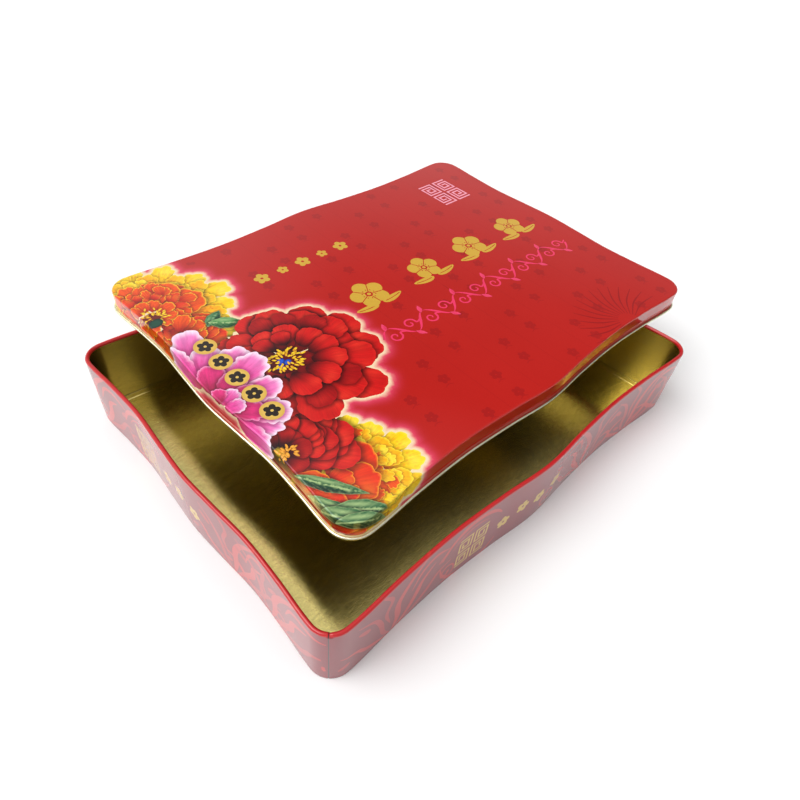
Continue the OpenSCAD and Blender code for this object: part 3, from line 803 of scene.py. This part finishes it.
def build_lid():
    d0 = LID_OUT - EDGE_R
    q = math.pi / 2 * EDGE_R
    c_z, c_o = CURL_R - LID_H, LID_FIT + CURL_R
    a_end = 360 + math.degrees(math.acos((LID_OUT - c_o) / CURL_R))
    z_end = c_z + CURL_R * math.sin(math.radians(a_end))
    e_max = q + (-z_end - EDGE_R)
    NS = 600
    s = np.arange(NS) * PERIM / NS
    pt, nm = outline_at(s)
    zs = [1.6, 3.2, 5.4, 7.2, 7.75, 8.0, 8.2, 8.4, 8.6, 8.8, 9.0, 9.2, 9.45, 10.2, 10.8]
    es = [0.0] + [q * k / 7 for k in range(1, 8)] + [q + z - EDGE_R for z in zs]
    ringv = lambda e: pt + nm * (d0 + e)
    domain = ringv(e_max)
    lines = [(ringv(e), True) for e in es] + [(ringv(-1.2), True), (ringv(-3.5), True)]
    S, n_back, n_front = picture()
    # keep every outline inside the hidden end of the skirt
    good = []
    kinds = []
    for i, sh in enumerate(S):
        ss, dd = foot(sh.poly)
        if dd.min() > d0 + e_max - 1.8:
            continue
        lim = d0 + e_max - 0.45 - 0.95 * ((i * 0.618034) % 1.0)
        far = dd > lim
        if far.any():
            p2, n2 = outline_at(ss[far])
            sh.poly[far] = p2 + n2 * lim
        good.append(sh)
        kinds.append(0 if i < n_back else (1 if i < n_front else 2))
    S = good
    kinds = np.array(kinds)
    R = np.random.RandomState(3)
    pts = []
    for (x0, x1, h, jit) in ((-139, -78, 1.15, 0.25), (-78, -38, 1.9, 0.3), (-38, 139, 5.0, 0.6)):
        gx, gy = np.meshgrid(np.arange(x0, x1, h), np.arange(-106, 106, h * 0.87))
        gx = gx + (np.arange(gx.shape[0]) % 2)[:, None] * h / 2
        g = np.c_[gx.ravel(), gy.ravel()]
        pts.append(g + R.uniform(-jit, jit, g.shape))
    pts = np.vstack(pts)
    _, dd = foot(pts)
    pts = pts[dd < d0 - 1.6]
    P, T, own, rim = triangulate(domain, lines, pts, S)
    bg = lin(*RED_BG)
    fs = np.vstack([sh.poly for sh, k in zip(S, kinds) if k == 1])
    kd = KDTree(len(fs))
    for i, p in enumerate(fs):
        kd.insert((p[0], p[1], 0), i)
    kd.balance()
    cream, pink = lin(238, 216, 176), lin(236, 78, 116)

    def halo(Q, c):
        near = Q[:, 0] < -28
        d = np.full(len(Q), 99.0)
        d[near] = [kd.find((p[0], p[1], 0))[2] for p in Q[near]]
        glow = mix(bg[None].repeat(len(Q), 0), pink[None].repeat(len(Q), 0), np.exp(-(d / 4.4) ** 2) * 0.95)
        glow = mix(glow, cream[None].repeat(len(Q), 0), 1 - smooth(d, 0.6, 3.0))
        return mix(c, glow, (d < 30))
    col, pv, st = paint(P, T, own, S, lambda Q: bg[None].repeat(len(Q), 0), halo)
    ss, dd = foot(P)
    e = dd - d0
    off, z, no, nz = lid_profile(e)
    p2, n2 = outline_at(ss)
    flat = e <= 1e-6
    xy = np.where(flat[:, None], P, p2 + n2 * off[:, None])
    V = np.c_[xy, z]
    N = np.c_[n2 * no[:, None], nz]
    N[flat] = (0, 0, 1)
    # inner face and curl, from the printed sheet's last ring backwards
    prof = []
    nk = 22
    for k in range(1, nk):
        a = math.radians(a_end - (a_end - 180) * k / nk)
        prof.append((c_o + (CURL_R - INSET) * math.cos(a), c_z + (CURL_R - INSET) * math.sin(a), math.cos(a), math.sin(a)))
    for (zz, oo, so) in ((c_z, 0, 0), (-10.4, 0, 0), (-9.45, 0, 0), (-9.1, .12, .3), (-8.6, BEAD_D, 0), (-8.1, .12, -.3), (-7.75, 0, 0), (-5, 0, 0), (-2.2, 0, 0)):
        k = math.hypot(1, so)
        prof.append((LID_FIT + oo, zz, -1 / k, so / k))
    for k in range(0, 6):
        a = math.pi / 2 * (5 - k) / 5
        r = EDGE_R - SHEET
        prof.append((d0 + r * math.sin(a), -EDGE_R + r * math.cos(a), -math.sin(a), -math.cos(a)))
    nv = len(V)
    rows = [rim]
    VV, NN = [V], []
    for (o, zz, a, b) in prof:
        rows.append(list(range(nv, nv + NS)))
        VV.append(np.c_[pt + nm * o, np.full(NS, zz - INSET)])
        nv += NS
    rn = [(math.cos(math.radians(a_end)), math.sin(math.radians(a_end)))] + [(p[2], p[3]) for p in prof]
    faces = T.tolist()
    ln = [N[T.ravel()]]
    for j in range(len(rows) - 1):
        A, B = rows[j], rows[j + 1]
        for i in range(NS):
            k = (i + 1) % NS
            faces.append((A[i], B[i], B[k], A[k]))
        na = np.c_[nm * rn[j][0], np.full(NS, rn[j][1])]
        nb = np.c_[nm * rn[j + 1][0], np.full(NS, rn[j + 1][1])]
        nxt = np.roll(np.arange(NS), -1)
        ln.append(np.stack([na, nb, nb[nxt], na[nxt]], 1).reshape(-1, 3))
    inner = rows[-1]
    gx, gy = np.meshgrid(np.arange(-130, 131, 12), np.arange(-98, 99, 12))
    cp, ct, _, crim = triangulate(pt + nm * prof[-1][0], [], np.c_[gx.ravel(), gy.ravel()], [])
    idx = np.full(len(cp), -1)
    for i, k in zip(crim, inner):
        idx[i] = k
    newv = np.where(idx < 0)[0]
    idx[newv] = nv + np.arange(len(newv))
    VV.append(np.c_[cp[newv], np.full(len(newv), -SHEET - INSET)])
    faces += idx[ct[:, ::-1]].tolist()
    ln.append(np.tile((0, 0, -1.0), (3 * len(ct), 1)))
    V = np.vstack(VV)
    ln = np.vstack(ln)
    nl = len(ln) - 3 * len(T)
    gold = np.tile(lin(200, 180, 90), (nl, 1))
    c, s_ = math.cos(LID_TURN), math.sin(LID_TURN)
    Rm = np.array([[c, -s_, 0], [s_, c, 0], [0, 0, 1]])
    V = (V @ Rm.T + (LID_X, LID_Y, LID_TOP)) * MM
    ln = ln @ Rm.T
    ob = to_mesh("lid_pressing", V, faces, [M_LID, M_GOLD, M_EDGE],
                 np.r_[np.zeros(len(T), int), np.full(nk * NS, 2), np.ones(len(faces) - len(T) - nk * NS, int)], ln,
                 {"art": ("FLOAT_COLOR", np.vstack([col, gold])), "petal": ("FLOAT_VECTOR", np.vstack([pv, np.zeros((nl, 3))])),
                  "streak": ("FLOAT", np.r_[st, np.zeros(nl)])})
    print("lid: shapes", len(S), "triangles", len(T), "faces", len(faces))
    return ob


# ------------------------------------------------------------------ the tray's wall
WALL_BG = (130, 26, 38)
SWIRL = (190, 36, 32)


def seam_dist(s):
    s = np.mod(s, PERIM)
    return np.minimum(s, PERIM - s) * np.where(s < PERIM / 2, 1, -1)


def wall_map(s, e):
    """A point of the printed face: s along the strip from the seam, e up the strip from the wall's foot."""
    s, e = np.asarray(s, float), np.asarray(e, float)
    pt, nm = outline_at(s)
    c = H - RIM_R
    g = np.exp(-(seam_dist(s) / 0.2) ** 2)
    k = 1 - 0.24 * np.exp(-(np.abs(seam_dist(s) - 0.55) / 0.75) ** 2)
    q = math.pi / 2 * HEM_R
    hem = e < -q
    bend = (e >= -q) & (e < 0)
    bead = e > c - HEM_R
    a = (e - (c - HEM_R)) / RIM_R
    phi = -np.clip(e, -q, 0) / HEM_R
    off = np.where(hem, -HEM_R - (-q - e), np.where(bend, -HEM_R * (1 - np.cos(phi)), 0.0))
    z = np.where(hem, 0.0, np.where(bend, HEM_R - HEM_R * np.sin(phi), HEM_R + e))
    r = (RIM_R - INSET) * k
    off = np.where(bead, -RIM_R + r * np.cos(a), off - INSET)
    z = np.where(bead, c + r * np.sin(a), z)
    off = off - GROOVE * g * (~hem)
    return np.c_[pt + nm * off[:, None], np.maximum(z, INSET)]


def wall_art():
    S = []
    r = np.random.RandomState(9)
    A = flat_paint(SWIRL)
    B = flat_paint((174, 32, 34))
    G = flat_paint((206, 170, 70))

    def clump(u, f, k):
        """A fan of long bending blades, the tallest running on over the rim, with one curl at its foot."""
        q = lambda P: [(u + f * k * x, y * (0.94 + 0.06 * k), w * k) for x, y, w in P]
        fan = (
            (B, [(-1, -0.6, 1.0), (-7, 8, 3.0), (-9, 19, 3.6), (-15, 29, 2.6), (-26, 36, 0.6)]),
            (B, [(3, -0.6, 1.0), (16, 4, 3.4), (27, 9, 3.8), (35, 17, 2.6), (46, 20, 0.6)]),
            (A, [(-3, -0.6, 1.0), (-13, 4, 2.8), (-22, 8, 3.2), (-28, 15, 2.4), (-38, 17, 0.5)]),
            (A, [(0, -0.6, 1.2), (3, 10, 4.2), (4, 22, 4.8), (10, 33, 3.8), (20, 41, 2.6), (27, 46.5, 1.2)]),
            (A, [(2, -0.6, 1.0), (11, 7, 4.0), (18, 16, 4.6), (21, 25, 3.4), (31, 31, 0.7)]),
            (B, [(-2, 12, 0.8), (-5, 24, 2.8), (-3, 34, 3.0), (-8, 42, 2.0), (-12, 46.5, 0.9)]),
            (A, [(13, 24, 0.6), (20, 35, 2.4), (31, 38, 2.8), (42, 34, 0.6)]),
        )
        for ink, P in fan:
            P = [(x + r.uniform(-1, 1) * (y > 1), y + r.uniform(-1.2, 1.2) * (1 < y < 44), w) for x, y, w in P]
            S.extend(stroke(q(P), ink, 1.2, 4))
        S.extend(stroke(q(spiral(44, 9.5, 8.0, 1.4, -1.9, 1.35, 1.0, 2.2, 16)), A, 1.2, 4))
        for x, y, a, L, W in ((35, 25, 35, 10, 2.0), (-18, 24, 150, 10, 2.0), (-32, 10, 205, 8, 1.7)):
            a = math.radians(a)
            t = np.linspace(0, 2 * math.pi, 18, endpoint=False)
            v = (1 - np.cos(t)) / 2
            w = np.sin(t) * W * (1 - 0.3 * v)
            S.append(Shape(np.c_[u + f * k * (x + v * L * math.cos(a) - w * math.sin(a)), y + v * L * math.sin(a) + w * math.cos(a)], B))
    for n, (u, f) in enumerate(((36, 1), (188, -1), (232, 1), (274, 1), (410, 1), (446, 1), (520, 1), (690, -1), (728, 1), (764, 1), (898, 1), (928, 1))):
        clump(u, f, 0.82 + 0.16 * ((n * 0.618) % 1.0))
    # an open ring of brush strokes round each fret
    for cx0 in (88.0, 325.0, 582.0, 820.0):
        for a0, a1, rr, w in ((35, 165, 21.5, 3.6), (185, 330, 21.0, 2.8), (60, 150, 16.8, 1.0)):
            S.extend(stroke([(cx0 + rr * math.cos(math.radians(a)), 18.6 + rr * math.sin(math.radians(a)), w * math.sin(math.pi * (0.08 + 0.84 * k / 10)))
                             for k, a in enumerate(np.linspace(a0, a1, 11))], A, 1.2, 4))
    # a square gold fret and a row of small gold blossoms on each side
    for (cx0, n_b) in ((88.0, 4), (325.0, 3), (582.0, 4), (820.0, 3)):
        for ix in range(2):
            for iy in range(2):
                cx, cy = cx0 - 5.2 + 10.4 * ix, 11.4 + 13.0 * iy
                sx, sy = (1 if ix == 0 else -1), (1 if iy == 0 else -1)
                L = [(-4, -5), (4, -5), (4, 5), (-4, 5), (-4, -2.7), (1.8, -2.7), (1.8, 2.6), (-1.9, 2.6), (-1.9, -0.4)]
                for (x0, y0), (x1, y1) in zip(L[:-1], L[1:]):
                    w = 0.5
                    xa, xb, ya, yb = min(x0, x1) - w, max(x0, x1) + w, min(y0, y1) - w, max(y0, y1) + w
                    S.append(Shape(np.array([(xa, ya), (xb, ya), (xb, yb), (xa, yb)]) * (sx, sy) + (cx, cy), G))
        for j in range(n_b):
            S.extend(blossom(cx0 + 22 + 13.5 * j, 18 + (j % 2) * 2.4, 4.4, (206, 170, 70), 0.3 + j, eye=WALL_BG))
    return S


def build_wall():
    c = H - RIM_R
    q = math.pi / 2 * HEM_R
    a_end = 360 - math.degrees(math.acos((RIM_R - SHEET) / RIM_R))
    e_bead = c - HEM_R
    e_top = e_bead + RIM_R * math.radians(a_end)
    e_bot = -q - (HEM_W - HEM_R)
    near = [0, .08, .16, .25, .36, .5, .7, .95, 1.25, 1.6, 1.9, 2.15, 2.3, 2.8, 3.6, 4.8]
    mid = np.linspace(6.2, PERIM - 6.2, 640)
    st = np.r_[near, mid, [PERIM - x for x in near[::-1]]]
    ns = len(st)
    es = [-q, -q * 0.75, -q * 0.5, -q * 0.25, 0, 6, 14, 22, 30, 37, 41.4] + [e_bead + (e_top - e_bead) * k / 22 for k in range(0, 22)]
    bot = np.c_[st, np.full(ns, e_bot)]
    top = np.c_[st, np.full(ns, e_top)]
    domain = np.vstack([bot, top[::-1]])
    lines = [(np.c_[st, np.full(ns, e)], False) for e in es]
    # upright lines round the corners, so that no triangle cuts across the bend
    nn = outline_at(st)[1]
    turn = np.arccos(np.clip((nn[:-1] * nn[1:]).sum(1), -1, 1)) / np.diff(st)
    lines += [(np.c_[np.full(len(es), st[i]), es], False) for i in range(1, ns - 1) if max(turn[i - 1], turn[i]) > 1 / 45]
    S = []
    for sh in wall_art():
        p = sh.poly
        p[:, 1] = np.clip(p[:, 1], -0.9, e_bead + 3.4)
        if p[:, 0].min() < 0.4 or p[:, 0].max() > PERIM - 0.4 or np.ptp(p[:, 1]) < 0.05:
            continue
        S.append(sh)
    P, T, own, dom = triangulate(domain, lines, np.zeros((0, 2)), S)
    bgc, dk = lin(*WALL_BG), lin(46, 6, 10)
    rimc = lin(186, 22, 26)

    def ground(Q):
        col = mix(bgc[None].repeat(len(Q), 0), rimc[None].repeat(len(Q), 0), smooth(Q[:, 1], e_bead - 0.3, e_bead + 0.5))
        return col
    col, pv, sk = paint(P, T, own, S, ground)
    d = np.abs(seam_dist(P[T.ravel()][:, 0]))
    d = np.minimum(d, np.abs(P[T.ravel()][:, 0] - PERIM))
    col = mix(dk[None].repeat(len(col), 0), col, smooth(d, 0.12, 0.3))
    V = wall_map(P[:, 0], P[:, 1])
    h = 0.03
    ds = wall_map(P[:, 0] + h, P[:, 1]) - wall_map(P[:, 0] - h, P[:, 1])
    de = wall_map(P[:, 0], P[:, 1] + h) - wall_map(P[:, 0], P[:, 1] - h)
    hem = P[:, 1] < -q + 0.05
    N = np.cross(ds, de)
    N /= np.maximum(np.linalg.norm(N, axis=1), 1e-12)[:, None]
    N[hem] = (0, 0, -1)
    # inner gold face, from the crevice under the bead down to the hem's end
    b_i, t_i = dom[:ns], dom[ns:][::-1]
    pt, nm = outline_at(st)
    fold = (np.abs(seam_dist(st)) < 2.2) | (np.abs(st - PERIM) < 2.2)
    z0 = c + RIM_R * math.sin(math.radians(a_end))
    prof = [(-SHEET, z0 - 0.3, 0), (-SHEET, z0 - 0.8, 0), (-SHEET, z0 - 1.1, 1), (-SHEET, 30.0, 1), (-SHEET, 18.0, 1), (-SHEET, 8.0, 1), (-SHEET, 2.2, 1), (-SHEET, 1.6, 0), (-SHEET, HEM_R, 0)]
    r = HEM_R - SHEET
    for k in range(1, 4):
        a = math.pi / 2 * k / 3
        prof.append((-HEM_R + r * math.cos(a), HEM_R - r * math.sin(a), 0))
    prof.append((-HEM_W, SHEET, 0))
    rows = [t_i]
    VV = [V]
    nv = len(V)
    for (o, zz, f) in prof:
        oo = np.full(ns, o) - SEAM_T * fold * f
        rows.append(list(range(nv, nv + ns)))
        VV.append(np.c_[pt + nm * oo[:, None], np.full(ns, zz)])
        nv += ns
    rows.append(b_i)
    V = np.vstack(VV)
    faces = T.tolist()
    ln = [N[T.ravel()]]
    pn = [(-1, 0)] * (1 + 9) + [(-0.87, 0.5), (-0.5, 0.87), (0, 1), (0, 1), (-1, 0)]
    for j in range(len(rows) - 1):
        A, B = rows[j], rows[j + 1]
        na = np.c_[nm * pn[j][0], np.full(ns, pn[j][1])]
        nb = np.c_[nm * pn[min(j + 1, len(pn) - 1)][0], np.full(ns, pn[min(j + 1, len(pn) - 1)][1])]
        for i in range(ns - 1):
            faces.append((A[i], A[i + 1], B[i + 1], B[i]))
        ln.append(np.stack([na[:-1], na[1:], nb[1:], nb[:-1]], 1).reshape(-1, 3))
    ln = np.vstack(ln)
    nl = len(ln) - 3 * len(T)
    # the strip's two ends meet at the seam: one set of points
    to = np.arange(len(V))
    a0 = np.where(np.abs(P[:, 0]) < 1e-4)[0]
    a1 = np.where(np.abs(P[:, 0] - PERIM) < 1e-4)[0]
    for i in a1:
        j = a0[np.argmin(np.abs(P[a0, 1] - P[i, 1]))]
        if abs(P[j, 1] - P[i, 1]) > 1e-3:
            print("seam gap", P[i])
        to[i] = j
    for row in rows[1:-1]:
        to[row[-1]] = row[0]
    used = np.unique(to)
    new = np.full(len(V), -1)
    new[used] = np.arange(len(used))
    faces = [tuple(int(new[to[i]]) for i in f) for f in faces]
    V = V[used]
    ob = to_mesh("tray_wall", V * MM, faces, [M_WALL, M_GOLD_W],
                 np.r_[np.zeros(len(T), int), np.ones(len(faces) - len(T), int)], ln,
                 {"art": ("FLOAT_COLOR", np.vstack([col, np.tile(lin(200, 180, 90), (nl, 1))])),
                  "petal": ("FLOAT_VECTOR", np.vstack([pv, np.zeros((nl, 3))])), "streak": ("FLOAT", np.r_[sk, np.zeros(nl)])})
    print("wall: shapes", len(S), "triangles", len(T), "faces", len(faces))
    return ob


def build_bottom():
    NS = 360
    s = np.arange(NS) * PERIM / NS
    pt, nm = outline_at(s)
    top = [(-0.70, 0.36, -1, 0), (-0.70, 0.60, -1, 0), (-0.74, 0.64, 0, 1), (-3.80, 0.64, 0, 1), (-3.98, 0.60, -0.4, 0.9), (-4.25, 0.37, -0.6, 0.8),
           (-4.42, 0.31, -0.3, 0.95), (-4.7, 0.30, 0, 1)]
    bot = [(-0.70, 0.36, 0, -1), (-3.32, 0.36, 0, -1), (-3.40, 0.30, 1, 0), (-3.44, 0.06, 1, 0), (-3.50, INSET, 0, -1), (-4.6, INSET, 0, -1)]
    V, faces, ln, nv = [], [], [], 0

    def sweep(prof, flip, first):
        nonlocal nv
        rows = []
        for k, (o, z, a, b) in enumerate(prof):
            if k == 0 and first is not None:
                rows.append(first)
                continue
            rows.append(list(range(nv, nv + NS)))
            V.append(np.c_[pt + nm * o, np.full(NS, z)])
            nv += NS
        for j in range(len(rows) - 1):
            A, B = rows[j], rows[j + 1]
            nn = [np.c_[nm * prof[i][2], np.full(NS, prof[i][3])] for i in (j, j + 1)]
            for i in range(NS):
                k = (i + 1) % NS
                f = (A[i], A[k], B[k], B[i])
                m_ = np.array([nn[0][i], nn[0][k], nn[1][k], nn[1][i]])
                if flip:
                    f, m_ = f[::-1], m_[::-1]
                faces.append(f)
                ln.append(m_)
        gx, gy = np.meshgrid(np.arange(-128, 129, 8), np.arange(-96, 97, 8))
        cp, ct, _, crim = triangulate(pt + nm * prof[-1][0], [], np.c_[gx.ravel(), gy.ravel()], [])
        idx = np.full(len(cp), -1)
        for i, k in zip(crim, rows[-1]):
            idx[i] = k
        new = np.where(idx < 0)[0]
        idx[new] = nv + np.arange(len(new))
        V.append(np.c_[cp[new], np.full(len(new), prof[-1][1])])
        nv += len(new)
        tri = idx[ct[:, ::-1]] if flip else idx[ct]
        faces.extend(tri.tolist())
        ln.append(np.tile((0, 0, -1.0 if flip else 1.0), (3 * len(ct), 1)))
        return rows[0]
    first = sweep(top, False, None)
    sweep(bot, True, first)
    return to_mesh("tray_bottom_plate", np.vstack(V) * MM, faces, [M_GOLD], np.zeros(len(faces), int), np.vstack(ln), {})


lid = build_lid()
wall = build_wall()
plate = build_bottom()
for ob, body, node, slot in ((lid, "lid", "lid", "printed_lid"), (wall, "tray", "body_wall", "printed_wall"),
                             (plate, "tray", "bottom_plate", "gold_lacquer")):
    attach(ob, body)
    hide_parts(node)

# ------------------------------------------------------------------ floor, light, camera
fm, fnt, fb = mat_new("pale_floor")
fn = nd(fnt, "ShaderNodeTexNoise", i_Scale=3.0, i_Detail=2.0)
fr = nd(fnt, "ShaderNodeMapRange")
fr.inputs["To Min"].default_value = 0.93
fr.inputs["To Max"].default_value = 0.95
fnt.links.new(fn.outputs["Fac"], fr.inputs["Value"])
fc = nd(fnt, "ShaderNodeCombineColor")
for k in range(3):
    fnt.links.new(fr.outputs[0], fc.inputs[k])
fnt.links.new(fc.outputs[0], fb.inputs["Base Color"])
fb.inputs["Roughness"].default_value = 0.9
fb.inputs["Specular IOR Level"].default_value = 0.1
me = bpy.data.meshes.new("floor")
n = 64
ang = [2 * math.pi * k / n for k in range(n)]
me.from_pydata([(0, 0, 0)] + [(6 * math.cos(a), 6 * math.sin(a), 0) for a in ang], [], [(0, 1 + k, 1 + (k + 1) % n) for k in range(n)])
me.materials.append(fm)
floor = bpy.data.objects.new("floor", me)
bpy.context.scene.collection.objects.link(floor)

w = bpy.data.worlds.new("studio")
bpy.context.scene.world = w
w.use_nodes = True
wt = w.node_tree
bgn = wt.nodes["Background"]
tc = nd(wt, "ShaderNodeTexCoord")
sx = nd(wt, "ShaderNodeSeparateXYZ")
wt.links.new(tc.outputs["Generated"], sx.inputs[0])
def grey_ramp(stops):
    q = nd(wt, "ShaderNodeValToRGB")
    e = q.color_ramp.elements
    e[0].position, e[0].color = stops[0][0], (stops[0][1],) * 3 + (1,)
    e[1].position, e[1].color = stops[-1][0], (stops[-1][1],) * 3 + (1,)
    for pos, v in stops[1:-1]:
        k = e.new(pos)
        k.color = (v, v, v, 1)
    return q


# a large soft box overhead, a bright low horizon, and a darker part of the room behind the tin
clear = grey_ramp([(0.0, 1.35), (0.20, 1.25), (0.36, 0.90), (0.60, 0.74), (0.74, 0.90), (0.88, 1.0), (0.93, 1.45), (1.0, 1.55)])
dim = grey_ramp([(0.0, 1.35), (0.20, 1.25), (0.36, 0.82), (0.47, 0.44), (0.56, 0.17), (0.70, 0.09), (0.755, 0.35), (0.80, 0.92), (0.88, 1.0), (0.93, 1.45), (1.0, 1.55)])
for q in (clear, dim):
    wt.links.new(sx.outputs["Z"], q.inputs[0])
az = nd(wt, "ShaderNodeVectorMath", operation="DOT_PRODUCT")
flat = nd(wt, "ShaderNodeVectorMath", operation="MULTIPLY")
wt.links.new(tc.outputs["Generated"], flat.inputs[0])
flat.inputs[1].default_value = (1.0, 1.0, 0.0)
nrm = nd(wt, "ShaderNodeVectorMath", operation="NORMALIZE")
wt.links.new(flat.outputs[0], nrm.inputs[0])
wt.links.new(nrm.outputs[0], az.inputs[0])
az.inputs[1].default_value = (math.cos(math.radians(12)), math.sin(math.radians(12)), 0.0)
mr = nd(wt, "ShaderNodeMapRange", interpolation_type="SMOOTHSTEP")
wt.links.new(az.outputs["Value"], mr.inputs["Value"])
mr.inputs["From Min"].default_value = math.cos(math.radians(56))
mr.inputs["From Max"].default_value = math.cos(math.radians(34))
mx = nd(wt, "ShaderNodeMix", data_type="RGBA")
wt.links.new(mr.outputs[0], mx.inputs["Factor"])
mxo = [o for o in mx.outputs if o.type == "RGBA"][0]
for o in mx.inputs:
    if o.type == "RGBA" and o.name == "A":
        wt.links.new(clear.outputs[0], o)
    if o.type == "RGBA" and o.name == "B":
        wt.links.new(dim.outputs[0], o)
side = nd(wt, "ShaderNodeVectorMath", operation="DOT_PRODUCT")
wt.links.new(tc.outputs["Generated"], side.inputs[0])
side.inputs[1].default_value = (-0.24, 0.18, 0.0)
sc = nd(wt, "ShaderNodeVectorMath", operation="SCALE")
wt.links.new(mxo, sc.inputs[0])
wt.links.new(math_n(wt, "ADD", side.outputs["Value"], 1.0), sc.inputs["Scale"])
# the key light: one big round soft box up on the left, with a soft edge
key = nd(wt, "ShaderNodeVectorMath", operation="DOT_PRODUCT")
wt.links.new(tc.outputs["Generated"], key.inputs[0])
key.inputs[1].default_value = tuple(Vector((-0.80, 0.42, 1.25)).normalized())
kr = nd(wt, "ShaderNodeMapRange", interpolation_type="SMOOTHSTEP")
wt.links.new(key.outputs["Value"], kr.inputs["Value"])
kr.inputs["From Min"].default_value = 0.885
kr.inputs["From Max"].default_value = 0.975
ad = nd(wt, "ShaderNodeVectorMath", operation="ADD")
kc = nd(wt, "ShaderNodeCombineXYZ")
for k in range(3):
    wt.links.new(math_n(wt, "MULTIPLY", kr.outputs[0], 6.1), kc.inputs[k])
wt.links.new(sc.outputs[0], ad.inputs[0])
wt.links.new(kc.outputs[0], ad.inputs[1])
wt.links.new(ad.outputs[0], bgn.inputs["Color"])
bgn.inputs["Strength"].default_value = 0.74

cam = bpy.data.cameras.new("cam")
co = bpy.data.objects.new("cam", cam)
bpy.context.scene.collection.objects.link(co)
right = Vector((0.7312963, -0.6777414, 0.0766305))
down = Vector((-0.4626529, -0.5754626, -0.6743850))
fwd = Vector((0.5011566, 0.4577219, -0.7343927))
mw = Matrix.Identity(4)
for i, v in enumerate((right, -down, -fwd)):
    for j in range(3):
        mw[j][i] = v[j]
mw.translation = Vector((-0.1972787, -0.1799401, 0.2738911))
co.matrix_world = mw
cam.sensor_width = 36.0
cam.lens = 614.3508 * 36.0 / 800.0
cam.shift_x = 5.5641 / 800.0
cam.shift_y = 19.8002 / 800.0
cam.clip_start = 0.01
cam.dof.use_dof = False
bpy.context.scene.camera = co
bpy.context.scene.view_settings.view_transform = "Standard"

bpy.context.view_layer.update()
